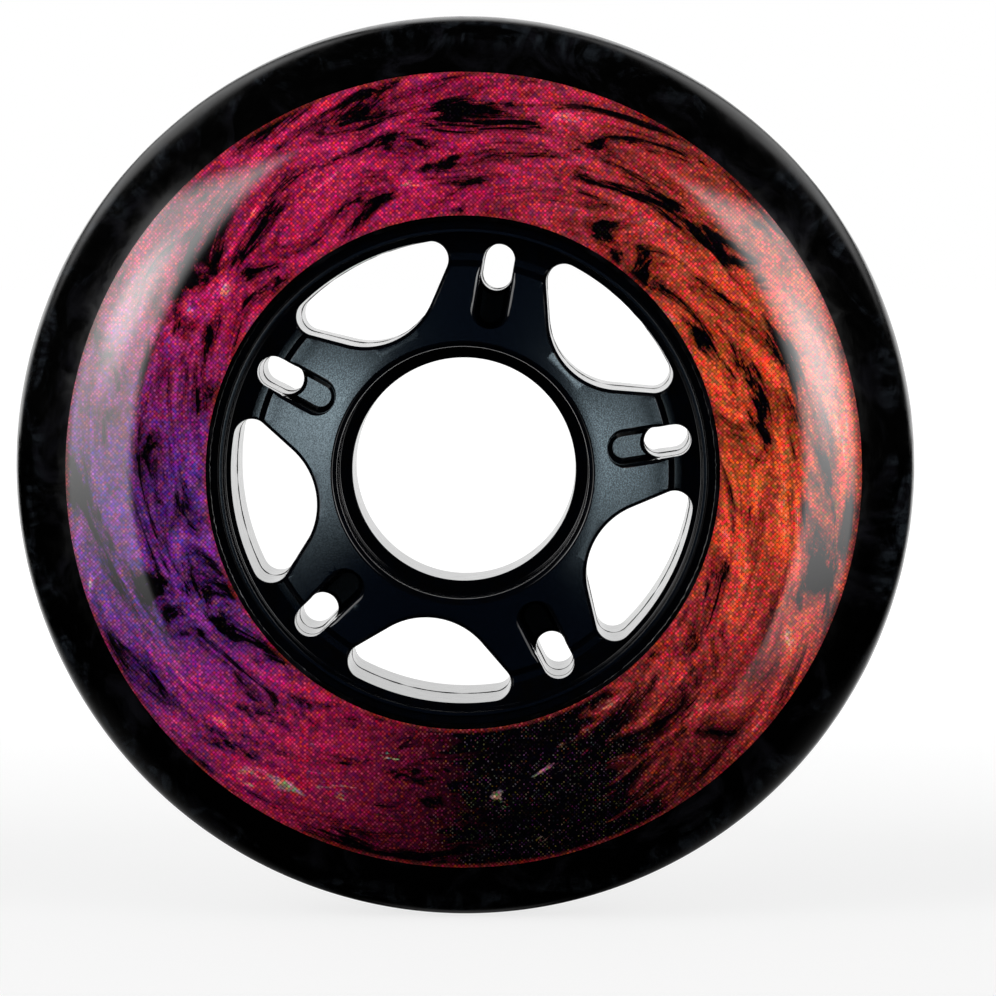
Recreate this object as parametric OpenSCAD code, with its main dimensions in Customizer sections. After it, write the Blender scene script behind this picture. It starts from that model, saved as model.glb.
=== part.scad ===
// Inline skate wheel: a urethane tyre cast round a moulded spoked hub, with a printed film set
// flush in its front sidewall. The bore is empty and takes two bearings.
// The axle lies along Y, the printed face looks towards -Y and the origin is the wheel's centre.

/* [Tyre] */
// Diameter of the wheel over the tread
tyre_d = 80; // [76:0.5:90]
// Width across the two sidewalls
tyre_w = 24; // [22:0.1:26]
// Radius of the round tread at its crown
crown_r = 8.5; // [7:0.1:10]
// Radius of the shoulders between the tread and the flat sidewalls
shoulder_r = 16; // [14:0.1:18]

/* [Printed film] */
// Bare margin between the hub's rim and the print
print_margin = 0.45; // [0.2:0.05:2]
// Bare tread between the print and the crown, measured along the radius
tread_band = 5.1; // [4:0.1:8]
// Thickness of the film
film_t = 0.15; // [0.1:0.05:0.4]

/* [Bearing bore] */
// Diameter of the two bearing seats
seat_d = 22; // [19:0.1:24]
// Depth of each bearing seat
seat_depth = 7; // [5:0.1:8]
// How far the bore's two faces stand proud of the tyre's sidewalls
boss_stand = 0.1; // [0:0.05:0.5]
// Height of the stop rib above the seats
rib_h = 1.15; // [0.6:0.05:2]
// Chamfer at the mouth of each seat
mouth_chamfer = 0.3; // [0.1:0.05:0.6]

/* [Hub rim] */
// Diameter of the rim where the tyre meets it
rim_d = 43.9; // [42:0.1:48]
// Thickness of the rim between the windows and the tyre
rim_wall = 1.6; // [1.3:0.05:2.4]
// How far the rim's two edges lie below the tyre's sidewalls
rim_sink = 0.3; // [0.1:0.05:1]
// Ledge of the channel floor outside the windows
rim_ledge = 0.1; // [0.05:0.05:0.4]
// How far the rim's inner face leans outwards from the channel floor to its edge
rim_lean = 0.5; // [0.1:0.05:0.7]

/* [Spokes] */
// Number of spokes and of windows
spoke_n = 5; // [3:1:5]
// Turn of the first spoke, clockwise from the top as the printed face is seen
spoke_turn = 9.6; // [0:0.1:72]
// Fall of the plate from the bore to the spokes' ends
plate_fall = 1.1; // [0.4:0.1:1.6]
// Radius of the cove at the end of each spoke
cove_r = 1.1; // [0.8:0.1:2]
// Width of the flat channel between the cove and the rim
channel_w = 0.95; // [0.8:0.05:2]

/* [Windows] */
// Wall between the bearing seat and a window
boss_wall = 1.95; // [1.4:0.05:2.6]
// Radius of a window's inner end
window_apex_r = 6.3; // [4:0.1:8]
// Angle between a window's sides and the tangent of the wheel
window_side = 40.5; // [36:0.5:48]
// Radius of a window's two outer corners
window_corner_r = 1.6; // [0.8:0.1:2]

/* [Slots and pockets] */
// Width of the slots and of the pockets that they run out of
slot_w = 2.8; // [2:0.1:3.4]
// Length of the part of a slot that goes right through
slot_len = 4.2; // [3.6:0.05:5]
// Channel floor left between a slot and the rim
slot_gap = 0.15; // [0.1:0.05:0.5]
// Wall between the bearing seat and a pocket
pocket_wall = 1.75; // [1.2:0.05:2.4]
// Depth of a pocket's floor below the bore's face
pocket_depth = 4.1; // [3:0.1:6]

/* [Anchor flange inside the tyre] */
// Height of the flange above the rim
flange_h = 5.5; // [4.8:0.1:7]
// Width of the flange
flange_w = 7; // [4:0.5:10]
// Number of key holes that the urethane fills
key_n = 20; // [8:1:24]
// Diameter of a key hole
key_d = 3; // [2:0.1:3.6]

/* [Hidden] */
$fn = 120;
// Reach of the cutters past the faces that they cut, and of the keys into the tyre on each side
past = 1;

// Tyre section, in radius and axle height
tyre_r = tyre_d / 2;
crown_c = tyre_r - crown_r;
join_angle = asin((shoulder_r - tyre_w / 2) / (shoulder_r - crown_r));
join_r = crown_c + crown_r * cos(join_angle);
shoulder_c = crown_c - (shoulder_r - crown_r) * cos(join_angle);

// Hub section
seat_r = seat_d / 2;
hub_w = tyre_w + 2 * boss_stand;
rib_w = hub_w - 2 * seat_depth;
rim_r = rim_d / 2;
rim_w = tyre_w - 2 * rim_sink;
window_out_r = rim_r - rim_wall;
plate_r = window_out_r - channel_w - cove_r;
plate_edge_z = hub_w / 2 - plate_fall;
channel_z = plate_edge_z - cove_r;
flange_r = rim_r + flange_h;
key_r = rim_r + flange_h / 2;

// Print
print_in_r = rim_r + print_margin;
print_out_r = tyre_r - tread_band;

// Window outline, with the wheel's centre at the origin and the window above it
window_in_r = seat_r + boss_wall;
side_dir = [cos(window_side), sin(window_side)];
side_in = [-sin(window_side), cos(window_side)];
side_start = [0, window_in_r + window_apex_r] - window_apex_r * side_in;
side_end = along_side(side_start, window_out_r);
corner_c = along_side(side_start + window_corner_r * side_in, window_out_r - window_corner_r);
corner_on_side = corner_c - window_corner_r * side_in;
corner_on_rim = corner_c * window_out_r / norm(corner_c);

// Slots and pockets, as radii from the wheel's centre
slot_out = window_out_r - slot_gap - slot_w / 2;
slot_in = slot_out - slot_len + slot_w;
pocket_in = seat_r + pocket_wall + slot_w / 2;
pocket_z = hub_w / 2 - pocket_depth;

// Point at radius r on the line from start along a window's side
function along_side(start, r) =
    let (b = start * side_dir)
    start + (sqrt(b * b - start * start + r * r) - b) * side_dir;

// Turns a shape drawn with its axle along Z so that the axle lies along Y and the front looks to -Y
module upright() {
    rotate([90, 0, 0]) children();
}

// Repeats a shape on each spoke, or midway between spokes
module each_spoke(midway = 0) {
    for (i = [0 : spoke_n - 1]) {
        rotate(-spoke_turn - 360 / spoke_n * (i + midway)) children();
    }
}

// Section under the front sidewall and shoulder, drawn in from its surface by inset
module side_2d(inset) {
    translate([0, -tyre_w]) square([shoulder_c, 1.5 * tyre_w - inset]);
    translate([shoulder_c, tyre_w / 2 - shoulder_r]) circle(r = shoulder_r - inset);
}

// Solid section of the tyre without its hub, drawn in from its surface by inset
module tyre_blank_2d(inset = 0) {
    intersection() {
        side_2d(inset);
        mirror([0, 1]) side_2d(inset);
        translate([0, -tyre_w]) square([join_r, 2 * tyre_w]);
    }
    translate([crown_c, 0]) circle(r = crown_r - inset);
}

// Section of the film, which follows the front sidewall
module film_2d() {
    intersection() {
        difference() {
            tyre_blank_2d();
            tyre_blank_2d(film_t);
        }
        translate([print_in_r, 0]) square([print_out_r - print_in_r, tyre_w]);
    }
}

// Space that the hub takes up inside the tyre
module hub_space_2d() {
    translate([0, -tyre_w]) square([rim_r, 2 * tyre_w]);
    translate([0, -flange_w / 2]) square([flange_r, flange_w]);
}

// Section of the hub, the same on both sides of the wheel's middle plane
module hub_2d() {
    front = [
        [seat_r - rib_h, rib_w / 2],
        [seat_r, rib_w / 2],
        [seat_r, hub_w / 2 - mouth_chamfer],
        [seat_r + mouth_chamfer, hub_w / 2],
        [plate_r, plate_edge_z],
        [plate_r + cove_r, plate_edge_z],
        [plate_r + cove_r, channel_z],
        [window_out_r + rim_ledge, channel_z],
        [window_out_r + rim_ledge + rim_lean, rim_w / 2],
        [rim_r, rim_w / 2],
        [rim_r, flange_w / 2],
        [flange_r, flange_w / 2],
    ];
    back = [for (i = [len(front) - 1 : -1 : 0]) [front[i].x, -front[i].y]];
    difference() {
        polygon(concat(front, back));
        for (m = [0, 1]) {
            mirror([0, m]) translate([plate_r + cove_r, plate_edge_z]) circle(r = cove_r);
        }
    }
}

// Window: the rim's circle, two straight sides, a round inner end and two round corners
module window_2d() {
    far = 2 * window_out_r * side_dir;
    difference() {
        intersection() {
            circle(r = window_out_r);
            union() {
                translate([0, window_in_r + window_apex_r]) circle(r = window_apex_r);
                polygon([
                    side_start,
                    side_start + far,
                    [-side_start.x - far.x, side_start.y + far.y],
                    [-side_start.x, side_start.y],
                ]);
            }
        }
        for (m = [0, 1]) {
            mirror([m, 0]) corner_waste_2d();
        }
    }
}

// What a round corner takes off the sharp one
module corner_waste_2d() {
    difference() {
        polygon([corner_c, corner_on_side, 2 * side_end - corner_c, corner_on_rim]);
        translate(corner_c) circle(r = window_corner_r);
    }
}

// Slot with round ends, between two end centres on the spoke's middle line
module slot_2d(from, to) {
    translate([0, from]) circle(d = slot_w);
    translate([0, to]) circle(d = slot_w);
    translate([-slot_w / 2, from]) square([slot_w, to - from]);
}

// Row of round keys through the anchor flange
module keys(length) {
    for (i = [0 : key_n - 1]) {
        rotate(360 / key_n * i) translate([key_r, 0, 0]) cylinder(d = key_d, h = length, center = true);
    }
}

// One-piece moulded hub: boss, spokes, rim and the flange that the tyre is cast round
module hub_core() {
    color("#1b1f23") upright() difference() {
        rotate_extrude() hub_2d();
        each_spoke(0.5) linear_extrude(hub_w + 2 * past, center = true) window_2d();
        each_spoke() linear_extrude(hub_w + 2 * past, center = true) slot_2d(slot_in, slot_out);
        each_spoke() for (m = [0, 1]) {
            mirror([0, 0, m]) translate([0, 0, pocket_z]) linear_extrude(pocket_depth + past)
                slot_2d(pocket_in, slot_out);
        }
        keys(flange_w + 2 * past);
    }
}

// Cast tyre, which fills the key holes in the hub's flange
module tyre() {
    color("#0d0d0f") upright() {
        rotate_extrude() difference() {
            tyre_blank_2d();
            hub_space_2d();
            film_2d();
        }
        keys(flange_w + 2 * past);
    }
}

// Printed film in the front sidewall
module front_print_film() {
    color("#8f2236") upright() rotate_extrude() film_2d();
}

hub_core();
tyre();
front_print_film();
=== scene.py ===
"""Inline skate wheel: moulded spoked hub, cast tyre and printed sidewall film on a plain stage."""

from bisect import bisect_right
from math import acos, atan2, cos, hypot, pi, radians, sin, sqrt, tan

import bmesh
import bpy
from bpy.props import FloatProperty, FloatVectorProperty, IntProperty, PointerProperty
from mathutils import Matrix, Vector, noise


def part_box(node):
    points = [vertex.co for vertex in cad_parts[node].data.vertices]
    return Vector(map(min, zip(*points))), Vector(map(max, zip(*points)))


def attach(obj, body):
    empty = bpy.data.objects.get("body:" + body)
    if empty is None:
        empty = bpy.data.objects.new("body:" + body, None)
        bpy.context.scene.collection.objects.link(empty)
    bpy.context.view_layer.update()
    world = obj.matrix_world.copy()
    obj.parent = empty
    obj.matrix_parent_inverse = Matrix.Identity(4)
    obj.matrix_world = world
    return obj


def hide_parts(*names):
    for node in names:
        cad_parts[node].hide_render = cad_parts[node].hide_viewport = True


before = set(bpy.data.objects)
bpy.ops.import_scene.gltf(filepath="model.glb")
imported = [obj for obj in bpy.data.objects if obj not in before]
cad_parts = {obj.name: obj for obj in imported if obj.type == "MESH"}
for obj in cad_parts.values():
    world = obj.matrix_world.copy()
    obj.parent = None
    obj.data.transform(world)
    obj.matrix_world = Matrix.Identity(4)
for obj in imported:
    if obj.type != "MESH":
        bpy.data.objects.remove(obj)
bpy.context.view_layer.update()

bl_info = {
    "name": "Inline Skate Wheel",
    "version": (1, 0, 0),
    "blender": (4, 5, 0),
    "location": "View3D > Sidebar > Wheel",
    "description": "Builds an inline skate wheel with a spoked hub, a cast tyre and a printed sidewall",
    "category": "Add Mesh",
}

MM = 0.001
HUB_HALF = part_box("hub_core")[1].y
TYRE_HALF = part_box("tyre")[1].y
TYRE_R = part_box("tyre")[1].z
PRINT_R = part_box("front_print_film")[1].z
AXLE = Vector((0, 1, 0))

# Materials of the hub, by slot
TEXTURED, POLISHED = 0, 1

# Steps round the wheel
HUB_STEPS = 240
TYRE_STEPS = 576
FILM_STEPS = 288

# Steps of the arcs: a window's inner end, its corners and rim, and the ends of slots and pockets
APEX_STEPS = 12
CORNER_STEPS = 14
END_STEPS = 10
# Steps across the plate, and along the tyre's side and tread
PLATE_STEPS = 8
SIDE_STEPS = 24
SHOULDER_STEPS = 8
CROWN_STEPS = 18

# Edges sharper than this, in degrees, stay crisp
HUB_CRISP = 24
TYRE_CRISP = 35

# Points closer than this are merged after a spin, and after the cuts
SPIN_MERGE = 0.001 * MM
SEAM_MERGE = 0.002 * MM

# Radius of the hub's small edges
FINE = 0.12 * MM
# Room between points or bands that come from different lines
CLEAR = 0.05 * MM
# How far the cutters reach past the hub's faces
CUTTER_REACH = 2 * MM
# How far the mouths of windows, pockets and slots are rounded; 90 degrees is a full round
WINDOW_SWEEP = radians(60)
POCKET_SWEEP = radians(65)
SLOT_SWEEP = radians(45)
# How far a rounded mouth runs on past the face, as a share of its radius
MOUTH_PAST = 0.07
# Share of the draft that the slots have
SLOT_DRAFT = 0.4
# Half width of the parting line's ridge at its foot and crest, and the length of its unevenness
RIDGE_FOOT = 0.09 * MM
RIDGE_CREST = 0.01 * MM
RIDGE_WANDER = 0.9 * MM

# Round of the tyre's lip at the rim, the lip's depth and the length of its wandering
LIP_ROUND = 0.08 * MM
LIP_DEPTH = 0.1 * MM
LIP_WANDER = 0.5 * MM

# Inks round the print, from the left through the bottom, right and top
INK_ORDER = (
    "violet", "violet", "crimson", "ground", "ground", "rust", "orange",
    "orange", "rust", "crimson", "crimson", "crimson", "violet",
)

# Softboxes, in metres: distance, fade at the edges, and the lamp's spot from its bright middle to its end
PANEL_AWAY = 0.7
PANEL_FADE = 0.15
SPOT = (0.02, 0.21)
# Degrees to the right and up, width and height, rise of the lamp, and length of the lower end's fade
FRONT_PANELS = {
    "front_softbox_left": ((-56, 8), (0.68, 1.06), 0.15, 0.73),
    "front_softbox_right": ((55.5, 2), (0.57, 1.14), 0.12, 0.74),
}
REAR_PANELS = {
    "rear_softbox_left": ((-146, 30), (0.5, 0.5)),
    "rear_softbox_right": ((146, 30), (0.5, 0.5)),
}

# Floor, in metres: half its size, where its lift to white starts and is full, and the levels there
FLOOR_HALF = 3
LIFT_REACH = (0.08, 0.3)
LIFT_LEVEL = (0.78, 1.0)
# White lane on the floor behind the wheel: half width at the wheel, spread, soft edge and soft start
LANE_HALF = 0.06
LANE_SPREAD = 0.5
LANE_EDGE = 0.05
LANE_START = 0.1
# Width of the soft border between the lane and the open front
FRONT_BORDER = 0.02

# White backdrop in reflections: angles off the axle where it is full and gone, and the dark beyond
BACKDROP_FULL = radians(28)
BACKDROP_END = radians(38)
BACKDROP_DARK = 0.004

# Point that the camera looks at, and the width of its sensor in millimetres
AIM = Vector((2.93 * MM, 0, -2.83 * MM))
SENSOR = 36


def linear(hex_colour):
    """Linear RGBA of an sRGB hex colour."""
    parts = [int(hex_colour[i:i + 2], 16) / 255 for i in (1, 3, 5)]
    return [p / 12.92 if p <= 0.04045 else ((p + 0.055) / 1.055) ** 2.4 for p in parts] + [1]


def scaled(rgba, factor):
    """A colour made paler or darker by a factor."""
    return [c * factor for c in rgba[:3]] + [1]


def unit(value):
    """A value kept between 0 and 1."""
    return min(max(value, 0), 1)


def amount(name, description, default, low=0, high=100):
    """Property for a plain number."""
    return FloatProperty(name=name, description=description, default=default, min=low, max=high)


def length(name, description, default):
    """Property for a length, which Blender keeps in metres."""
    return FloatProperty(
        name=name, description=description, default=default, min=0, precision=5, unit="LENGTH"
    )


def angle(name, description, default):
    """Property for an angle, given here in degrees."""
    return FloatProperty(name=name, description=description, default=radians(default), unit="ROTATION")


def colour(name, description, hex_colour):
    """Property for a colour."""
    return FloatVectorProperty(
        name=name, description=description, default=linear(hex_colour), size=4, min=0, max=1, subtype="COLOR"
    )


class WheelHub(bpy.types.PropertyGroup):
    """Sizes and colours of the hub."""

    half_width: length("Half width", "From the middle plane to the bore's face", HUB_HALF)
    seat_r: length("Seat radius", "Radius of the bearing seats", 11 * MM)
    rib_r: length("Rib radius", "Radius of the hole in the stop rib", 9.85 * MM)
    rib_half: length("Rib half width", "From the middle plane to the face of the stop rib", 5.1 * MM)
    mouth: length("Mouth chamfer", "Width of the chamfer at the mouth of a seat", 0.42 * MM)
    plate_r: length("Plate radius", "Radius at the outer end of the spokes' plate", 17.95 * MM)
    plate_fall: length("Plate fall", "Fall of the plate from the bore to the spokes' ends", 2.2 * MM)
    plate_dish: amount("Plate dish", "How much steeper the plate is at the bore", 1.1, 1, 2)
    foot_r: length("Foot radius", "Radius at the foot of the spokes' ends", 18.5 * MM)
    foot_rise: length("Foot rise", "Rise of the textured cove from the channel floor to the foot", 0.16 * MM)
    cove_r: length("Cove radius", "Radius at the outer edge of the textured cove", 19.15 * MM)
    channel: length("Channel height", "From the middle plane to the channel floor", 9.12 * MM)
    rim_in_r: length("Rim inner radius", "Radius of the rim's inner face at the channel floor", 20.85 * MM)
    rim_lean: length("Rim lean", "How far the rim's inner face leans outwards", 0.1 * MM)
    rim_land: length("Rim land", "Width of the textured land along the rim's edge", 0.3 * MM)
    rim_fall: length("Rim fall", "Fall from the rim's land to its step against the tyre", 0.3 * MM)
    rim_r: length("Rim radius", "Outer radius of the rim", 21.95 * MM)
    rim_half: length("Rim half width", "From the middle plane to the rim's edge", 11.7 * MM)
    flange_r: length("Flange radius", "Outer radius of the flange inside the tyre", 27.45 * MM)
    flange_half: length("Flange half width", "Half the width of the flange inside the tyre", 3.5 * MM)
    spokes: IntProperty(name="Spokes", description="Number of spokes and windows", default=5, min=3, max=5)
    turn: angle("Turn", "Turn of the first spoke, clockwise from the top", 9.6)
    window_in_r: length("Window inner radius", "Radius at a window's inner end", 12.95 * MM)
    window_out_r: length("Window outer radius", "Radius at a window's outer side", 20.35 * MM)
    window_apex_r: length("Window end radius", "Radius of a window's round inner end", 6.3 * MM)
    window_corner_r: length("Window corner radius", "Radius of a window's outer corners", 1.6 * MM)
    window_side: angle("Window side", "Angle between a window's sides and the wheel's tangent", 40.5)
    window_round: length("Window edge", "Radius of the rounded edge round a window", 0.43 * MM)
    pocket_half: length("Pocket half width", "Half the width of a pocket at its wall", 1.39 * MM)
    pocket_in: length("Pocket inner centre", "Radius of the centre of a pocket's inner end", 14.15 * MM)
    pocket_depth: length("Pocket depth", "Depth of a pocket's floor below the plate", 3.4 * MM)
    pocket_round: length("Pocket edge", "Radius of the rounded edge along a pocket", 0.42 * MM)
    pocket_chamfer: length("Pocket chamfer", "Width of the chamfer round a pocket's floor", 0.46 * MM)
    slot_half: length("Slot half width", "Half the width of a slot", 1.37 * MM)
    slot_round: length("Slot edge", "Radius of the edge between a pocket's floor and its slot", 0.65 * MM)
    slot_in: length("Slot inner centre", "Radius of the centre of a slot's inner end", 17.4 * MM)
    slot_out: length("Slot outer centre", "Radius of the centre of a slot's outer end", 18.76 * MM)
    draft: length("Draft", "How much closer the mould's walls stand at the parting line", 0.05 * MM)
    flash: length("Flash", "Height of the ridge at the parting line", 0.05 * MM)
    plate_colour: colour("Plate colour", "Colour of the textured faces", "#01040c")
    sheen_colour: colour("Sheen colour", "Tint of the light that the textured faces throw back", "#d6f0fc")
    edge_colour: colour("Edge colour", "Colour of the polished faces", "#030304")


class WheelTyre(bpy.types.PropertyGroup):
    """Sizes and colours of the tyre."""

    radius: length("Radius", "Radius of the wheel over the tread", TYRE_R)
    half_width: length("Half width", "From the middle plane to a sidewall", TYRE_HALF)
    crown_r: length("Crown radius", "Radius of the round tread at its crown", 8.5 * MM)
    shoulder_r: length("Shoulder radius", "Radius of the shoulders", 16 * MM)
    lip_wander: length("Lip wander", "How far the cast lip at the rim wanders", 0.12 * MM)
    body_colour: colour("Colour", "Colour of the urethane", "#010101")
    smear_colour: colour("Smear colour", "Colour of the hazy smears on the tread", "#24292e")
    smoke_colour: colour("Smoke colour", "Colour of the paler flow marks in the urethane", "#17171c")


class WheelPrint(bpy.types.PropertyGroup):
    """Sizes and colours of the printed film."""

    in_r: length("Inner radius", "Radius at the film's inner edge", 22.4 * MM)
    out_r: length("Outer radius", "Radius at the film's outer edge", PRINT_R)
    thickness: length("Thickness", "Thickness of the film", 0.15 * MM)
    dot_pitch: length("Dot pitch", "Distance between the halftone dots", 0.26 * MM)
    ground: colour("Ground", "Darkest ink", "#030104")
    crimson: colour("Crimson", "Deep red ink", "#9f1b46")
    rust: colour("Rust", "Brownish red ink", "#a63232")
    orange: colour("Orange", "Warmest ink", "#c74b2a")
    violet: colour("Violet", "Coolest ink", "#6c2c7c")
    glint: colour("Glint", "Pale ink of the thin veins", "#f0cdb8")


class WheelStage(bpy.types.PropertyGroup):
    """Light, floor and camera."""

    floor_colour: colour("Floor colour", "Colour of the floor", "#8c8c8c")
    front_light: amount("Front light", "Brightness of the two front softboxes", 3.2)
    core: amount("Core", "How much brighter the front softboxes are before their lamps", 3.5)
    back_light: amount("Back light", "Brightness of the rear softboxes", 0.65)
    ambient: amount("Ambient", "Brightness of the room", 0.25)
    distance: length("Distance", "From the camera to the wheel's centre", 516 * MM)
    elevation: angle("Elevation", "Height of the camera above the axle's level", 2.8)
    azimuth: angle("Azimuth", "Turn of the camera to the right of the axle", 1.0)
    lens: amount("Lens", "Focal length in millimetres", 209.3, 1, 1000)


def rounded(corners, step=radians(9)):
    """Line through corners (radius, height, fillet radius), with an arc at each filleted corner."""
    line = []
    for i, (radius, height, fillet) in enumerate(corners):
        here = Vector((radius, height))
        if not fillet:
            line.append(here)
            continue
        before = (Vector(corners[i - 1][:2]) - here).normalized()
        after = (Vector(corners[i + 1][:2]) - here).normalized()
        half = before.angle(after) / 2
        centre = here + (before + after).normalized() * fillet / sin(half)
        start = here + before * fillet / tan(half) - centre
        end = here + after * fillet / tan(half) - centre
        turn = -start.angle_signed(end)
        steps = max(2, round(abs(turn) / step))
        line += [centre + Matrix.Rotation(turn * k / steps, 2) @ start for k in range(steps + 1)]
    return line


def arc(centre, radius, start, end, steps):
    """Points of an arc between two angles in radians, anticlockwise from the right."""
    return [
        centre + radius * Vector((cos(a), sin(a)))
        for a in (start + (end - start) * k / steps for k in range(steps + 1))
    ]


def turned(name, section, steps, materials):
    """Solid of revolution about the axle from a closed section of (radius, height towards the front)."""
    bm = bmesh.new()
    verts = [bm.verts.new((p.x, -p.y, 0)) for p in section]
    edges = [bm.edges.new((a, b)) for a, b in zip(verts, verts[1:] + verts[:1])]
    bmesh.ops.spin(bm, geom=verts + edges, axis=AXLE, angle=2 * pi, steps=steps, use_merge=True)
    bmesh.ops.remove_doubles(bm, verts=bm.verts, dist=SPIN_MERGE)
    bmesh.ops.recalc_face_normals(bm, faces=bm.faces)
    return to_object(name, bm, materials)


def to_object(name, bm, materials):
    """Object at the origin from a bmesh, which is freed."""
    mesh = bpy.data.meshes.new(name)
    bm.to_mesh(mesh)
    bm.free()
    piece = bpy.data.objects.new(name, mesh)
    bpy.context.scene.collection.objects.link(piece)
    for material in materials:
        mesh.materials.append(material)
    return piece


def shade(piece, sharp_from):
    """Smooth shading, with edges sharper than an angle in degrees kept crisp."""
    piece.data.polygons.foreach_set("use_smooth", [True] * len(piece.data.polygons))
    piece.data.set_sharp_from_angle(angle=radians(sharp_from))
    weighted = piece.modifiers.new("Weighted normals", "WEIGHTED_NORMAL")
    weighted.keep_sharp = True


def settle(piece, node):
    """Lets a finished piece stand for its CAD node."""
    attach(piece, "root")
    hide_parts(node)


def add_node(tree, kind, inputs=None, stops=(), **settings):
    """Adds a shader node with its settings, its inputs by name or number, and its colour stops."""
    made = tree.nodes.new("ShaderNode" + kind)
    for name, value in settings.items():
        setattr(made, name, value)
    for key, value in (inputs or {}).items():
        if isinstance(value, bpy.types.NodeSocket):
            tree.links.new(value, made.inputs[key])
        else:
            made.inputs[key].default_value = value
    for i, (place, value) in enumerate(stops):
        ramp = made.color_ramp
        stop = ramp.elements[i] if i < 2 else ramp.elements.new(place)
        stop.position = place
        stop.color = value
    return made


def new_material(name):
    """Empty node material."""
    material = bpy.data.materials.new(name)
    material.use_nodes = True
    material.node_tree.nodes.clear()
    return material, material.node_tree


def textured_nylon(hub):
    """Glass-filled nylon moulded against a spark-eroded steel face: satin, with a fine grain that glints.

    The grain is about 0.05 mm on the real part. It is drawn at 0.12 mm, so that it shows.
    """
    material, tree = new_material("nylon_spark_eroded")
    place = add_node(tree, "TexCoord").outputs["Object"]
    grain = add_node(tree, "TexNoise", {
        "Vector": place, "Scale": 1 / (0.12 * MM), "Detail": 1, "Roughness": 0.6}).outputs["Fac"]
    tint = add_node(tree, "ValToRGB", {"Fac": grain}, stops=[
        (0.32, hub.plate_colour), (0.72, scaled(hub.plate_colour, 2.2))])
    glint = add_node(tree, "ValToRGB", {"Fac": grain}, stops=[
        (0.36, scaled(hub.sheen_colour, 0.5)), (0.64, hub.sheen_colour)])
    bump = add_node(tree, "Bump", {"Height": grain, "Strength": 1, "Distance": 0.004 * MM})
    surface = add_node(tree, "BsdfPrincipled", {
        "Base Color": tint.outputs["Color"], "Roughness": 0.2,
        "Normal": bump.outputs["Normal"], "IOR": 1.7,
        "Specular IOR Level": 1.0, "Specular Tint": glint.outputs["Color"]})
    add_node(tree, "OutputMaterial", {"Surface": surface.outputs["BSDF"]})
    return material


def polished_nylon(hub):
    """The same nylon moulded against polished steel: dark and half glossy, with faint flow marks."""
    material, tree = new_material("nylon_moulded_polished")
    place = add_node(tree, "TexCoord").outputs["Object"]
    flow = add_node(tree, "TexNoise", {
        "Vector": place, "Scale": 1 / (1.2 * MM), "Detail": 4, "Roughness": 0.6}).outputs["Fac"]
    tint = add_node(tree, "ValToRGB", {"Fac": flow}, stops=[
        (0.35, hub.edge_colour), (0.75, hub.plate_colour)])
    rough = add_node(tree, "MapRange", {
        "Value": flow, "From Min": 0.3, "From Max": 0.7, "To Min": 0.08, "To Max": 0.14})
    bump = add_node(tree, "Bump", {"Height": flow, "Strength": 0.1, "Distance": 0.02 * MM})
    surface = add_node(tree, "BsdfPrincipled", {
        "Base Color": tint.outputs["Color"], "Roughness": rough.outputs["Result"],
        "Normal": bump.outputs["Normal"], "IOR": 1.53})
    add_node(tree, "OutputMaterial", {"Surface": surface.outputs["BSDF"]})
    return material


def cast_urethane(tyre):
    """Polyurethane cast in a polished mould: deep black and glossy, with smoky flow marks and smudges."""
    material, tree = new_material("urethane_cast_glossy")
    place = add_node(tree, "TexCoord").outputs["Object"]
    smoke = add_node(tree, "TexNoise", {
        "Vector": place, "Scale": 1 / (7 * MM), "Detail": 6, "Roughness": 0.62,
        "Distortion": 1.4}).outputs["Fac"]
    smudge = add_node(tree, "TexNoise", {
        "Vector": place, "Scale": 1 / (2.6 * MM), "Detail": 5, "Roughness": 0.65, "Distortion": 0.8})
    tint = add_node(tree, "ValToRGB", {"Fac": smoke}, stops=[
        (0.5, tyre.body_colour), (0.76, tyre.smoke_colour)])
    rough = add_node(tree, "MapRange", {
        "Value": smudge.outputs["Fac"], "From Min": 0.35, "From Max": 0.7, "To Min": 0.1, "To Max": 0.24})

    # Smears 1.6 mm wide and 6 mm long lie across the tread, thicker in some places than in others
    flat = add_node(tree, "VectorMath", {0: place, 1: (1, 0, 1)}, operation="MULTIPLY")
    heading = add_node(tree, "VectorMath", {0: flat.outputs[0]}, operation="NORMALIZE")
    along = add_node(tree, "VectorMath", {
        0: heading.outputs[0], "Scale": tyre.radius / (1.6 * MM)}, operation="SCALE")
    across = add_node(tree, "VectorMath", {
        0: place, 1: (0, 1 / (6 * MM), 0), 2: along.outputs[0]}, operation="MULTIPLY_ADD")
    smear = add_node(tree, "TexNoise", {
        "Vector": across.outputs[0], "Scale": 1, "Detail": 4, "Roughness": 0.6, "Distortion": 1.2})
    depth = add_node(tree, "SeparateXYZ", {0: place}).outputs["Y"]
    off_middle = add_node(tree, "Math", {0: depth}, operation="ABSOLUTE")
    on_tread = add_node(tree, "MapRange", {
        "Value": off_middle.outputs[0], "From Min": 7 * MM, "From Max": 5 * MM})
    places = add_node(tree, "MapRange", {
        "Value": smoke, "From Min": 0.46, "From Max": 0.62, "To Max": on_tread.outputs["Result"]})
    haze = add_node(tree, "MapRange", {
        "Value": smear.outputs["Fac"], "From Min": 0.46, "From Max": 0.6, "To Max": places.outputs["Result"]})
    hazy = add_node(tree, "Mix", {
        0: haze.outputs["Result"], 6: tint.outputs["Color"], 7: tyre.smear_colour}, data_type="RGBA")
    surface = add_node(tree, "BsdfPrincipled", {
        "Base Color": hazy.outputs[2], "Roughness": rough.outputs["Result"], "IOR": 1.5})
    add_node(tree, "OutputMaterial", {"Surface": surface.outputs["BSDF"]})
    return material


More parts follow.
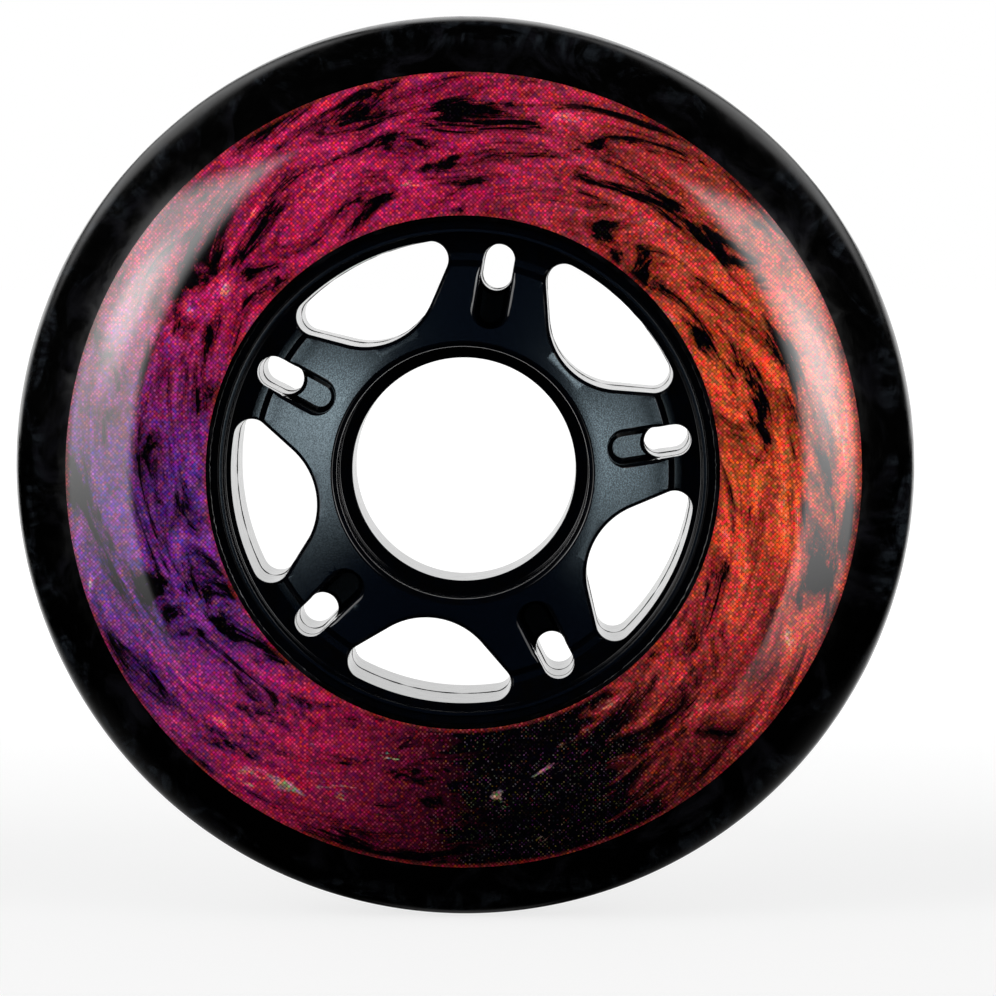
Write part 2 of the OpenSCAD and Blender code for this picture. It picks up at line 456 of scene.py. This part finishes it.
def printed_film(print_):
    """Screen-printed inks under clear lacquer: swirling smoky bands in halftone dots, with a wet gloss.

    Lengths in this pattern are in millimetres.
    """
    material, tree = new_material("ink_screen_printed_lacquered")
    place = add_node(tree, "TexCoord").outputs["Object"]
    flat = add_node(tree, "VectorMath", {0: place, 1: (1 / MM, 0, 1 / MM)}, operation="MULTIPLY").outputs[0]
    radius = add_node(tree, "VectorMath", {0: flat}, operation="LENGTH").outputs["Value"]

    # Smoky bands 9 mm long and 3.5 mm wide run round the wheel, 28 mm out, and swirl outwards
    swirl = add_node(tree, "Math", {0: radius, 1: -0.05}, operation="MULTIPLY")
    bent = add_node(tree, "VectorRotate", {
        "Vector": flat, "Angle": swirl.outputs[0]}, rotation_type="Y_AXIS")
    heading = add_node(tree, "VectorMath", {0: bent.outputs[0]}, operation="NORMALIZE")
    along = add_node(tree, "VectorMath", {0: heading.outputs[0], "Scale": 28 / 9}, operation="SCALE")
    across = add_node(tree, "Math", {0: radius, 1: 1 / 3.5}, operation="MULTIPLY")
    lift = add_node(tree, "CombineXYZ", {"Y": across.outputs[0]})
    flow = add_node(tree, "VectorMath", {0: along.outputs[0], 1: lift.outputs[0]}, operation="ADD")
    cloud = add_node(tree, "TexNoise", {
        "Vector": flow.outputs[0], "Scale": 1, "Detail": 9, "Roughness": 0.66,
        "Distortion": 0.9}).outputs["Fac"]

    # Inks change round the wheel, with ragged borders
    upright = add_node(tree, "Mapping", {"Vector": flat, "Rotation": (radians(-90), 0, 0)})
    round_ = add_node(tree, "TexGradient", {"Vector": upright.outputs[0]}, gradient_type="RADIAL")
    ragged = add_node(tree, "MapRange", {
        "Value": cloud, "From Min": 0.3, "From Max": 0.7, "To Min": -0.05, "To Max": 0.05})
    sector = add_node(tree, "Math", {
        0: round_.outputs["Fac"], 1: ragged.outputs["Result"]}, operation="ADD").outputs[0]
    inks = [getattr(print_, name) for name in INK_ORDER]
    body = add_node(tree, "ValToRGB", {"Fac": sector}, stops=ring_stops(inks, 1))
    crest = add_node(tree, "ValToRGB", {"Fac": sector}, stops=ring_stops(inks, 2.6))
    low = add_node(tree, "MapRange", {"Value": cloud, "From Min": 0.42, "From Max": 0.5}).outputs["Result"]
    high = add_node(tree, "MapRange", {"Value": cloud, "From Min": 0.5, "From Max": 0.64})
    vein = add_node(tree, "MapRange", {"Value": cloud, "From Min": 0.62, "From Max": 0.72})
    dark = add_node(tree, "Mix", {0: low, 6: print_.ground, 7: body.outputs["Color"]}, data_type="RGBA")
    mid = add_node(tree, "Mix", {
        0: high.outputs["Result"], 6: dark.outputs[2], 7: crest.outputs["Color"]}, data_type="RGBA")
    veined = add_node(tree, "Mix", {
        0: vein.outputs["Result"], 6: mid.outputs[2], 7: print_.glint}, data_type="RGBA")

    # A warm line runs along both edges
    middle_r = (print_.in_r + print_.out_r) / 2 / MM
    band = (print_.out_r - print_.in_r) / 2 / MM
    off_middle = add_node(tree, "Math", {0: radius, 1: middle_r}, operation="SUBTRACT")
    to_edge = add_node(tree, "Math", {0: off_middle.outputs[0]}, operation="ABSOLUTE")
    hem = add_node(tree, "MapRange", {
        "Value": to_edge.outputs[0], "From Min": band - 0.4, "From Max": band - 0.05, "To Max": 0.6})
    ink = add_node(tree, "Mix", {
        0: hem.outputs["Result"], 6: veined.outputs[2], 7: print_.rust}, data_type="RGBA")

    # Halftone dots on a grid turned by 45 degrees, each with a little more of one ink or another
    pitch = print_.dot_pitch / MM
    grid = add_node(tree, "Mapping", {
        "Vector": flat, "Rotation": (0, radians(45), 0), "Scale": (1 / pitch, 0, 1 / pitch)}).outputs[0]
    cell = add_node(tree, "VectorMath", {0: grid}, operation="FLOOR")
    uneven = add_node(tree, "TexWhiteNoise", {"Vector": cell.outputs[0]}).outputs
    within = add_node(tree, "VectorMath", {0: grid}, operation="FRACTION")
    centred = add_node(tree, "VectorMath", {
        0: within.outputs[0], 1: (0.5, 0, 0.5)}, operation="DISTANCE").outputs["Value"]
    dot = add_node(tree, "MapRange", {
        "Value": centred, "From Min": 0.3, "From Max": 0.6, "To Min": 1.15, "To Max": 0.45})
    shift = add_node(tree, "VectorMath", {
        0: uneven["Color"], 1: (1.2, 1.2, 1.2), 2: (0.4, 0.4, 0.4)}, operation="MULTIPLY_ADD")
    mixed = add_node(tree, "VectorMath", {0: ink.outputs[2], 1: shift.outputs[0]}, operation="MULTIPLY")
    dotted = add_node(tree, "VectorMath", {
        0: mixed.outputs[0], "Scale": dot.outputs["Result"]}, operation="SCALE")

    # Some dots have a pale fleck in the middle, fewer of them in the dark
    palest = add_node(tree, "MapRange", {"Value": low, "To Min": 0.02, "To Max": 0.14})
    chosen = add_node(tree, "MapRange", {
        "Value": uneven["Value"], "From Min": 0.4, "To Max": palest.outputs["Result"]})
    middle = add_node(tree, "MapRange", {
        "Value": centred, "From Min": 0.1, "From Max": 0.36, "To Min": 1, "To Max": 0})
    fleck = add_node(tree, "Math", {
        0: chosen.outputs["Result"], 1: middle.outputs["Result"]}, operation="MULTIPLY")
    flecks = add_node(tree, "VectorMath", {
        0: uneven["Color"], "Scale": fleck.outputs[0]}, operation="SCALE")
    speckled = add_node(tree, "VectorMath", {0: dotted.outputs[0], 1: flecks.outputs[0]}, operation="ADD")

    surface = add_node(tree, "BsdfPrincipled", {
        "Base Color": speckled.outputs[0], "Roughness": 0.1, "IOR": 1.5,
        "Coat Weight": 1.0, "Coat Roughness": 0.05, "Coat IOR": 1.5})
    add_node(tree, "OutputMaterial", {"Surface": surface.outputs["BSDF"]})
    return material


def ring_stops(inks, strength):
    """Evenly spread colour stops of inks, brightened by a factor. The first two stops are the ramp's ends."""
    stops = [(k / (len(inks) - 1), scaled(ink, strength)) for k, ink in enumerate(inks)]
    return [stops[0], stops[-1]] + stops[1:-1]


def plate_height(hub, radius):
    """Height of the dished plate, which falls from the bore to the spokes' ends, more steeply at first."""
    mouth_r = hub.seat_r + hub.mouth
    left = max(1 - (radius - mouth_r) / (hub.plate_r - mouth_r), 0)
    return hub.half_width - hub.plate_fall * (1 - left ** hub.plate_dish)


def pocket_height(hub, point):
    """Height of a pocket's flat floor, which slopes with the plate along the spoke."""
    mouth_r = hub.seat_r + hub.mouth
    fall = hub.plate_fall * (point.y - mouth_r) / (hub.plate_r - mouth_r)
    return hub.half_width - fall - hub.pocket_depth


def hub_front(hub):
    """Section of the hub's front half, from the bore's middle outwards to the flange."""
    mouth_r = hub.seat_r + hub.mouth
    plate = [mouth_r + (hub.plate_r - mouth_r) * k / PLATE_STEPS for k in range(1, PLATE_STEPS)]
    land = hub.rim_in_r + hub.rim_lean
    return rounded([
        (hub.rib_r, 0, 0),
        (hub.rib_r, hub.rib_half, 0.5 * FINE),
        (hub.seat_r, hub.rib_half, FINE),
        (hub.seat_r, hub.half_width - hub.mouth, 4 * FINE),
        (mouth_r, hub.half_width, 1.5 * FINE),
        *((r, plate_height(hub, r), 0) for r in plate),
        (hub.plate_r, plate_height(hub, hub.plate_r), 0.5 * FINE),
        (hub.foot_r, hub.channel + hub.foot_rise, 0.5 * FINE),
        (hub.cove_r, hub.channel, 2 * FINE),
        (hub.rim_in_r, hub.channel, FINE),
        (land, hub.rim_half, 0.5 * FINE),
        (land + hub.rim_land, hub.rim_half - 0.2 * hub.rim_fall, 0.5 * FINE),
        (land + hub.rim_land + FINE, hub.rim_half - hub.rim_fall, 0.5 * FINE),
        (hub.rim_r, hub.rim_half - hub.rim_fall, 0),
        (hub.rim_r, hub.flange_half, 0),
        (hub.flange_r, hub.flange_half, 0),
        (hub.flange_r, 0, 0),
    ])


class Surface:
    """Height of the hub's front over the radius, between the bore's mouth and the rim."""

    def __init__(self, line):
        self.radii = [p.x for p in line]
        self.heights = [p.y for p in line]

    def height(self, point):
        """Height of the face at a point's distance from the axle."""
        radius = point.length
        i = min(max(bisect_right(self.radii, radius), 1), len(self.radii) - 1)
        share = (radius - self.radii[i - 1]) / (self.radii[i] - self.radii[i - 1])
        return self.heights[i - 1] + share * (self.heights[i] - self.heights[i - 1])

    def between(self, low, high):
        """Radii of the section's points between two radii."""
        return [r for r in self.radii if low < r < high]


def on_line(start, heading, radius):
    """Point at a radius from the axle on the line from start along heading."""
    b = start.dot(heading)
    return start + (sqrt(b * b - start.length_squared + radius * radius) - b) * heading


def window_outline(hub, surface, grow):
    """Outline of the window above the axle, grown by an amount.

    With it comes how much of the rounded edge each point has: all along the sides, and none along the rim.
    """
    s = hub.window_side
    heading = Vector((cos(s), sin(s)))
    inward = Vector((-sin(s), cos(s)))
    apex = Vector((0, hub.window_in_r + hub.window_apex_r))
    line = apex - hub.window_apex_r * inward
    corner = on_line(line + hub.window_corner_r * inward, heading, hub.window_out_r - hub.window_corner_r)
    low = line.length + 6 * CLEAR
    high = (corner - hub.window_corner_r * inward).length - CLEAR
    aim = atan2(corner.y, corner.x)
    right = arc(apex, hub.window_apex_r + grow, -pi / 2, s - pi / 2, APEX_STEPS)
    right += [on_line(line - grow * inward, heading, r) for r in surface.between(low, high)]
    bend = arc(corner, hub.window_corner_r + grow, s - pi / 2, aim, CORNER_STEPS)
    rim = arc(Vector((0, 0)), hub.window_out_r + grow, aim, pi / 2, CORNER_STEPS)[1:]
    fading = [0.5 + 0.5 * cos(pi * k / CORNER_STEPS) for k in range(CORNER_STEPS + 1)]
    share = [1] * len(right) + fading + [0] * len(rim)
    half = right + bend + rim
    left = [Vector((-p.x, p.y)) for p in half[-2:0:-1]]
    return half + left, share + share[-2:0:-1]


def slot_outline(half_width, inner, outer, surface):
    """Outline of a slot with round ends on the spoke that points up, between two end centres."""
    low = hypot(inner, half_width) + CLEAR
    high = hypot(outer, half_width) - CLEAR
    up = Vector((0, 1))
    right = arc(Vector((0, inner)), half_width, -pi / 2, 0, END_STEPS)
    right += [on_line(Vector((half_width, inner)), up, r) for r in surface.between(low, high)]
    right += arc(Vector((0, outer)), half_width, 0, pi / 2, END_STEPS)
    return right + [Vector((-p.x, p.y)) for p in right[-2:0:-1]]


def loft(bm, rings, material):
    """Skins closed rings of equal count and returns the two end caps."""
    loops = []
    for ring in rings:
        verts = [bm.verts.new(p) for p in ring]
        loops.append([bm.edges.new((a, b)) for a, b in zip(verts, verts[1:] + verts[:1])])
    for one, two in zip(loops, loops[1:]):
        bmesh.ops.bridge_loops(bm, edges=one + two)
    caps = [bmesh.ops.contextual_create(bm, geom=loop)["faces"][0] for loop in (loops[0], loops[-1])]
    for face in bm.faces:
        face.material_index = material
    return caps


def rounded_mouth(radius, end, steps=7):
    """Offsets (outwards, down) of an edge rounded by an angle, from its wall to just past the face."""
    angles = [end * k / steps for k in range(steps + 1)]
    path = [(radius * (1 - cos(t)), radius * (1 - sin(t))) for t in angles]
    out, down = path[-1]
    run = radius * (1 + MOUTH_PAST - sin(end)) / cos(end)
    return path + [(out + run * sin(end), down - run * cos(end))]


def placed(outline, heights):
    """Points of a ring in space, from its outline and its heights towards the front."""
    return [Vector((p.x, -h, p.y)) for p, h in zip(outline, heights)]


def mouth_rings(hub, outline, share, edge, end, height):
    """Rings of a mouth with a rounded edge, from above the hub down to the wall.

    Share is how much of the round each point has, and height gives the face's height at a point.
    """
    flat = outline(0)
    rings = []
    for out, down in reversed(rounded_mouth(edge, end)):
        ring = [a + (b - a) * w for a, b, w in zip(flat, outline(out), share)]
        if not rings:
            rings.append(placed(ring, [hub.half_width + CUTTER_REACH] * len(ring)))
        rings.append(placed(ring, [height(p) - down for p in ring]))
    return rings


def flash_ridge(hub, outline, base):
    """Rings of the thin, uneven ridge that the mould's parting line leaves half way through an opening."""
    flat = outline(base)
    peak = outline(base - hub.flash)
    uneven = [0.75 + 0.75 * noise.noise(p.to_3d() / RIDGE_WANDER) for p in flat]
    crest = [a + (b - a) * u for a, b, u in zip(flat, peak, uneven)]
    return [placed(flat, [RIDGE_FOOT] * len(flat)), placed(crest, [RIDGE_CREST] * len(flat))]


def mirrored(rings):
    """Rings of the front half followed by the same rings on the back half."""
    return rings + [[Vector((p.x, -p.y, p.z)) for p in ring] for ring in reversed(rings)]


def round_the_axle(bm, count, turn):
    """Repeats what is in bm evenly round the axle, from a turn clockwise as seen from the front."""
    bmesh.ops.rotate(bm, matrix=Matrix.Rotation(turn, 3, AXLE), verts=bm.verts)
    whole = bm.verts[:] + bm.edges[:] + bm.faces[:]
    sweep = 2 * pi * (count - 1) / count
    bmesh.ops.spin(bm, geom=whole, axis=AXLE, angle=sweep, steps=count - 1, use_duplicate=True)
    bmesh.ops.recalc_face_normals(bm, faces=bm.faces)


def window_cutter(hub, surface):
    """Five windows with rounded edges, drafted walls and a parting line."""

    def outline(grow):
        return window_outline(hub, surface, grow)[0]

    share = window_outline(hub, surface, 0)[1]
    rings = mouth_rings(hub, outline, share, hub.window_round, WINDOW_SWEEP, surface.height)
    rings += flash_ridge(hub, outline, -hub.draft)
    bm = bmesh.new()
    loft(bm, mirrored(rings), POLISHED)
    round_the_axle(bm, hub.spokes, hub.turn + pi / hub.spokes)
    return bm


def pocket_cutter(hub, surface):
    """Five blind pockets in each face, with rounded sides and a chamfer round a textured floor."""

    def outline(grow):
        return slot_outline(hub.pocket_half + grow, hub.pocket_in, hub.slot_out, surface)

    # The edge is rounded less at the inner end, and no more at the spoke's foot
    flat = outline(0)
    inner = [1 - 0.8 * unit((hub.pocket_in - p.y) / hub.pocket_half) for p in flat]
    share = [w * unit((hub.foot_r - p.y) / MM) for w, p in zip(inner, flat)]
    rings = mouth_rings(hub, outline, share, hub.pocket_round, POCKET_SWEEP, surface.height)
    for inset in (0, hub.pocket_chamfer):
        ring = outline(-inset)
        rings.append(placed(ring, [pocket_height(hub, p) + hub.pocket_chamfer - inset for p in ring]))
    bm = bmesh.new()
    floor = loft(bm, rings, POLISHED)[1]
    floor.material_index = TEXTURED
    whole = bm.verts[:] + bm.edges[:] + bm.faces[:]
    bmesh.ops.mirror(bm, geom=whole, matrix=Matrix.Identity(4), merge_dist=-1, axis="Y")
    round_the_axle(bm, hub.spokes, hub.turn)
    return bm


def slot_cutter(hub, surface):
    """Five slots right through the spokes, with drafted walls, a parting line and a rounded inner end."""

    def outline(grow):
        return slot_outline(hub.slot_half + grow, hub.slot_in, hub.slot_out, surface)

    def floor(point):
        return pocket_height(hub, point)

    share = [unit((hub.slot_in - p.y) / hub.slot_half) for p in outline(0)]
    rings = mouth_rings(hub, outline, share, hub.slot_round, SLOT_SWEEP, floor)
    rings += flash_ridge(hub, outline, -SLOT_DRAFT * hub.draft)
    bm = bmesh.new()
    loft(bm, mirrored(rings), POLISHED)
    round_the_axle(bm, hub.spokes, hub.turn)
    return bm


def cut(piece, name, bm):
    """Cuts the closed shapes in bm out of a piece."""
    tool = to_object(name, bm, piece.data.materials)
    modifier = piece.modifiers.new(name, "BOOLEAN")
    modifier.operation = "DIFFERENCE"
    modifier.solver = "EXACT"
    modifier.object = tool
    seen = piece.evaluated_get(bpy.context.evaluated_depsgraph_get())
    mesh = bpy.data.meshes.new_from_object(seen)
    piece.modifiers.clear()
    old = piece.data
    piece.data = mesh
    bpy.data.meshes.remove(old)
    bpy.data.meshes.remove(tool.data)


def clear_seams(piece):
    """Merges the slivers that the cuts leave along their seams."""
    bm = bmesh.new()
    bm.from_mesh(piece.data)
    bmesh.ops.remove_doubles(bm, verts=bm.verts, dist=SEAM_MERGE)
    bmesh.ops.dissolve_degenerate(bm, dist=SEAM_MERGE, edges=bm.edges)
    bmesh.ops.triangulate(bm, faces=[f for f in bm.faces if len(f.verts) > 4])
    bmesh.ops.dissolve_degenerate(bm, dist=SEAM_MERGE, edges=bm.edges)
    bmesh.ops.delete(bm, geom=[v for v in bm.verts if not v.link_faces], context="VERTS")
    bmesh.ops.recalc_face_normals(bm, faces=bm.faces)
    bm.to_mesh(piece.data)
    bm.free()


class WHEEL_OT_hub(bpy.types.Operator):
    """Builds the moulded hub with its windows, pockets and slots"""

    bl_idname = "wheel.hub"
    bl_label = "Hub"

    def execute(self, context):
        hub = context.scene.wheel_hub
        front = hub_front(hub)
        section = front + [Vector((p.x, -p.y)) for p in front[-2:0:-1]]
        piece = turned("hub", section, HUB_STEPS, [textured_nylon(hub), polished_nylon(hub)])
        self.texture(hub, piece)
        start_r = hub.seat_r + 0.5 * hub.mouth
        surface = Surface([p for p in front if start_r < p.x < hub.rim_r and p.y > hub.flange_half])
        cut(piece, "windows", window_cutter(hub, surface))
        cut(piece, "pockets", pocket_cutter(hub, surface))
        cut(piece, "slots", slot_cutter(hub, surface))
        clear_seams(piece)
        piece.data.name = "hub"
        shade(piece, HUB_CRISP)
        settle(piece, "hub_core")
        return {"FINISHED"}

    def texture(self, hub, piece):
        """Gives the plate, cove and rim's land the textured material, and the rest the polished one."""
        land = hub.rim_in_r + hub.rim_lean
        bands = (
            (hub.seat_r + hub.mouth + 2 * CLEAR, hub.plate_r - CLEAR),
            (hub.foot_r + CLEAR, hub.cove_r - CLEAR),
            (land + CLEAR, land + hub.rim_land - CLEAR),
        )
        for face in piece.data.polygons:
            radius = hypot(face.center.x, face.center.z)
            in_band = any(low < radius < high for low, high in bands)
            eroded = in_band and abs(face.center.y) > hub.flange_half
            face.material_index = TEXTURED if eroded else POLISHED


def shoulder_centre(tyre):
    """Centre of the front shoulder's arc, which touches the flat sidewall and the round crown."""
    lead = tyre.shoulder_r - tyre.crown_r
    rise = tyre.shoulder_r - tyre.half_width
    return Vector((tyre.radius - tyre.crown_r - sqrt(lead * lead - rise * rise), -rise))


def sidewall(tyre, start_r, end_r, inset=0):
    """Line along the front sidewall and the start of its shoulder, drawn in by an amount."""
    centre = shoulder_centre(tyre)
    radius = tyre.shoulder_r - inset
    start = Vector((start_r, tyre.half_width - inset))
    return [start] + arc(centre, radius, pi / 2, acos((end_r - centre.x) / radius), SIDE_STEPS)


def tread(tyre, start_r):
    """Line along the rest of the shoulder and the crown, to the middle of the tread."""
    centre = shoulder_centre(tyre)
    crown = Vector((tyre.radius - tyre.crown_r, 0))
    join = atan2(-centre.y, crown.x - centre.x)
    start = acos((start_r - centre.x) / tyre.shoulder_r)
    line = arc(centre, tyre.shoulder_r, start, join, SHOULDER_STEPS)
    return line + arc(crown, tyre.crown_r, join, 0, CROWN_STEPS)[1:]


class WHEEL_OT_tyre(bpy.types.Operator):
    """Builds the cast tyre round the hub's rim and flange"""

    bl_idname = "wheel.tyre"
    bl_label = "Tyre"

    def execute(self, context):
        tyre = context.scene.wheel_tyre
        hub = context.scene.wheel_hub
        print_ = context.scene.wheel_print
        lip = rounded([
            (hub.rim_r, hub.flange_half, 0),
            (hub.rim_r, tyre.half_width, LIP_ROUND),
            (print_.in_r, tyre.half_width, 0),
        ])
        outside = tread(tyre, print_.out_r)
        front = lip + sidewall(tyre, print_.in_r, print_.out_r, print_.thickness) + outside
        back = lip + sidewall(tyre, print_.in_r, print_.out_r)[1:-1] + outside[:-1]
        groove = [Vector((hub.flange_r, h)) for h in (-hub.flange_half, hub.flange_half)]
        section = front + [Vector((p.x, -p.y)) for p in reversed(back)] + groove
        piece = turned("cast_tyre", section, TYRE_STEPS, [cast_urethane(tyre)])
        for vertex in piece.data.vertices:
            radial = Vector((vertex.co.x, 0, vertex.co.z))
            if radial.length < hub.rim_r + LIP_DEPTH and abs(vertex.co.y) > hub.rim_half:
                wander = noise.fractal(vertex.co / LIP_WANDER, 0.8, 2.0, 4)
                vertex.co += radial.normalized() * abs(wander) * tyre.lip_wander
        shade(piece, TYRE_CRISP)
        settle(piece, "tyre")
        return {"FINISHED"}


class WHEEL_OT_print(bpy.types.Operator):
    """Builds the printed film in the front sidewall"""

    bl_idname = "wheel.printed_film"
    bl_label = "Printed film"

    def execute(self, context):
        tyre = context.scene.wheel_tyre
        print_ = context.scene.wheel_print
        top = sidewall(tyre, print_.in_r, print_.out_r)
        under = sidewall(tyre, print_.in_r, print_.out_r, print_.thickness)
        piece = turned("printed_film", top + under[::-1], FILM_STEPS, [printed_film(print_)])
        shade(piece, TYRE_CRISP)
        settle(piece, "front_print_film")
        return {"FINISHED"}


def direction(azimuth, elevation):
    """Direction from the wheel, by its angles to the right of the front and above the axle."""
    flat = cos(elevation)
    return Vector((sin(azimuth) * flat, -cos(azimuth) * flat, sin(elevation)))


def softbox(name, brightness, core, aim, size, rise=0, foot=PANEL_FADE):
    """Cloth panel that faces the wheel and fades at its edges.

    It is brighter by core before its lamp, which sits above the panel's middle by rise. Foot is the length
    over which its lower end fades.
    """
    heading = direction(*map(radians, aim))
    width, height = size
    bm = bmesh.new()
    bmesh.ops.create_grid(bm, x_segments=1, y_segments=1, size=0.5)
    bmesh.ops.scale(bm, vec=(width, height, 1), verts=bm.verts)
    material, tree = new_material(name)
    place = add_node(tree, "TexCoord").outputs["Object"]
    away = add_node(tree, "VectorMath", {0: place, 1: (0, rise, 0)}, operation="DISTANCE")
    level = add_node(tree, "MapRange", {
        "Value": away.outputs["Value"], "From Min": SPOT[0], "From Max": SPOT[1],
        "To Min": brightness + core, "To Max": brightness}, interpolation_type="SMOOTHERSTEP")
    folded = add_node(tree, "VectorMath", {0: place}, operation="ABSOLUTE")
    inside = add_node(tree, "VectorMath", {
        0: (width / 2, height / 2, 0), 1: folded.outputs[0]}, operation="SUBTRACT")
    sides = add_node(tree, "SeparateXYZ", {0: inside.outputs[0]}).outputs
    top = add_node(tree, "Math", {0: sides["X"], 1: sides["Y"]}, operation="MINIMUM")
    up = add_node(tree, "SeparateXYZ", {0: place}).outputs["Y"]
    slope = PANEL_FADE / foot
    low = add_node(tree, "Math", {0: up, 1: slope, 2: height / 2 * slope}, operation="MULTIPLY_ADD")
    edge = add_node(tree, "Math", {0: top.outputs[0], 1: low.outputs[0]}, operation="MINIMUM")
    faded = add_node(tree, "MapRange", {
        "Value": edge.outputs[0], "From Max": PANEL_FADE,
        "To Max": level.outputs["Result"]}, interpolation_type="SMOOTHSTEP")
    glow = add_node(tree, "Emission", {"Strength": faded.outputs["Result"]})
    add_node(tree, "OutputMaterial", {"Surface": glow.outputs[0]})
    panel = to_object(name, bm, [material])
    panel.location = PANEL_AWAY * heading
    panel.rotation_euler = heading.to_track_quat("Z", "Y").to_euler()
    panel.visible_camera = False


class WHEEL_OT_stage(bpy.types.Operator):
    """Builds the floor, the lights and the camera"""

    bl_idname = "wheel.stage"
    bl_label = "Stage"

    def execute(self, context):
        stage = context.scene.wheel_stage
        self.floor(stage)
        self.world(stage)
        for name, panel in FRONT_PANELS.items():
            softbox(name, stage.front_light, stage.core, *panel)
        for name, panel in REAR_PANELS.items():
            softbox(name, stage.back_light, 0, *panel)
        self.camera(context, stage)
        context.scene.view_settings.view_transform = "Standard"
        return {"FINISHED"}

    def floor(self, stage):
        """Pale floor under the tread, lifted to white for the camera.

        Gloss sees the lane behind the wheel white. In front it sees the softboxes down to their lower ends,
        as if the floor ended under the wheel.
        """
        bm = bmesh.new()
        bmesh.ops.create_grid(bm, x_segments=1, y_segments=1, size=FLOOR_HALF)
        bmesh.ops.translate(bm, vec=(0, 0, -TYRE_R), verts=bm.verts)
        material, tree = new_material("floor_matt_paint")
        ray = add_node(tree, "LightPath").outputs
        place = add_node(tree, "TexCoord").outputs["Object"]
        away = add_node(tree, "VectorMath", {0: place}, operation="LENGTH")
        white = add_node(tree, "MapRange", {
            "Value": away.outputs["Value"], "From Min": LIFT_REACH[0], "From Max": LIFT_REACH[1],
            "To Min": LIFT_LEVEL[0], "To Max": LIFT_LEVEL[1]})
        lift = add_node(tree, "Math", {
            0: ray["Is Camera Ray"], 1: white.outputs["Result"]}, operation="MULTIPLY")
        glow = add_node(tree, "Emission", {"Strength": lift.outputs[0]})
        matt = add_node(tree, "BsdfDiffuse", {"Color": stage.floor_colour})
        both = add_node(tree, "AddShader", {0: glow.outputs[0], 1: matt.outputs[0]})
        axes = add_node(tree, "SeparateXYZ", {0: place}).outputs
        reach = add_node(tree, "Math", {
            0: axes["Y"], 1: LANE_SPREAD, 2: LANE_HALF}, operation="MULTIPLY_ADD")
        aside = add_node(tree, "Math", {0: axes["X"]}, operation="ABSOLUTE")
        within = add_node(tree, "Math", {0: reach.outputs[0], 1: aside.outputs[0]}, operation="SUBTRACT")
        lane = add_node(tree, "MapRange", {"Value": within.outputs[0], "From Max": LANE_EDGE})
        far = add_node(tree, "MapRange", {
            "Value": axes["Y"], "From Max": LANE_START, "To Max": lane.outputs["Result"]})
        card = add_node(tree, "Emission", {"Strength": far.outputs["Result"]})
        through = add_node(tree, "BsdfTransparent")
        front = add_node(tree, "MapRange", {"Value": axes["Y"], "From Max": -FRONT_BORDER})
        gloss = add_node(tree, "MixShader", {
            0: front.outputs["Result"], 1: card.outputs[0], 2: through.outputs[0]})
        seen = add_node(tree, "MixShader", {
            0: ray["Is Glossy Ray"], 1: both.outputs[0], 2: gloss.outputs[0]})
        add_node(tree, "OutputMaterial", {"Surface": seen.outputs[0]})
        to_object("floor", bm, [material])

    def world(self, stage):
        """White backdrop for the camera and behind the wheel in reflections, and a dim room elsewhere."""
        world = bpy.data.worlds.new("studio")
        bpy.context.scene.world = world
        world.use_nodes = True
        tree = world.node_tree
        tree.nodes.clear()
        ray = add_node(tree, "LightPath").outputs
        heading = add_node(tree, "TexCoord").outputs["Generated"]
        depth = add_node(tree, "SeparateXYZ", {0: heading}).outputs["Y"]
        screen = add_node(tree, "MapRange", {
            "Value": depth, "From Min": cos(BACKDROP_END), "From Max": cos(BACKDROP_FULL),
            "To Min": BACKDROP_DARK})
        room = add_node(tree, "Mix", {
            "Factor": ray["Is Glossy Ray"], "A": stage.ambient, "B": screen.outputs["Result"]})
        seen = add_node(tree, "Math", {
            0: ray["Is Camera Ray"], 1: ray["Is Transmission Ray"]}, operation="MAXIMUM")
        level = add_node(tree, "Mix", {"Factor": seen.outputs[0], "A": room.outputs[0], "B": 1.0})
        light = add_node(tree, "Background", {"Color": (1, 1, 1, 1), "Strength": level.outputs[0]})
        add_node(tree, "OutputWorld", {"Surface": light.outputs[0]})

    def camera(self, context, stage):
        """Camera a little above and to the right of the axle, with the wheel up and left in the frame."""
        cam = bpy.data.objects.new("camera", bpy.data.cameras.new("camera"))
        context.scene.collection.objects.link(cam)
        cam.location = stage.distance * direction(stage.azimuth, stage.elevation)
        cam.rotation_euler = (AIM - cam.location).to_track_quat("-Z", "Y").to_euler()
        cam.data.lens = stage.lens
        cam.data.sensor_width = SENSOR
        cam.data.clip_start = 0.01
        cam.data.clip_end = 20
        context.scene.camera = cam


class WHEEL_PT_panel(bpy.types.Panel):
    """Lists the wheel's pieces and its stage"""

    bl_idname = "WHEEL_PT_panel"
    bl_label = "Inline Skate Wheel"
    bl_space_type = "VIEW_3D"
    bl_region_type = "UI"
    bl_category = "Wheel"

    def draw(self, context):
        for operator in OPERATORS:
            self.layout.operator(operator.bl_idname)


OPERATORS = (WHEEL_OT_hub, WHEEL_OT_tyre, WHEEL_OT_print, WHEEL_OT_stage)
GROUPS = {
    "wheel_hub": WheelHub,
    "wheel_tyre": WheelTyre,
    "wheel_print": WheelPrint,
    "wheel_stage": WheelStage,
}


def register():
    for cls in (*GROUPS.values(), *OPERATORS, WHEEL_PT_panel):
        bpy.utils.register_class(cls)
    for name, group in GROUPS.items():
        setattr(bpy.types.Scene, name, PointerProperty(type=group))


def unregister():
    for name in GROUPS:
        delattr(bpy.types.Scene, name)
    for cls in (WHEEL_PT_panel, *reversed(OPERATORS), *GROUPS.values()):
        bpy.utils.unregister_class(cls)


def main():
    register()
    bpy.ops.wheel.hub()
    bpy.ops.wheel.tyre()
    bpy.ops.wheel.printed_film()
    bpy.ops.wheel.stage()


if __name__ == "__main__":
    main()
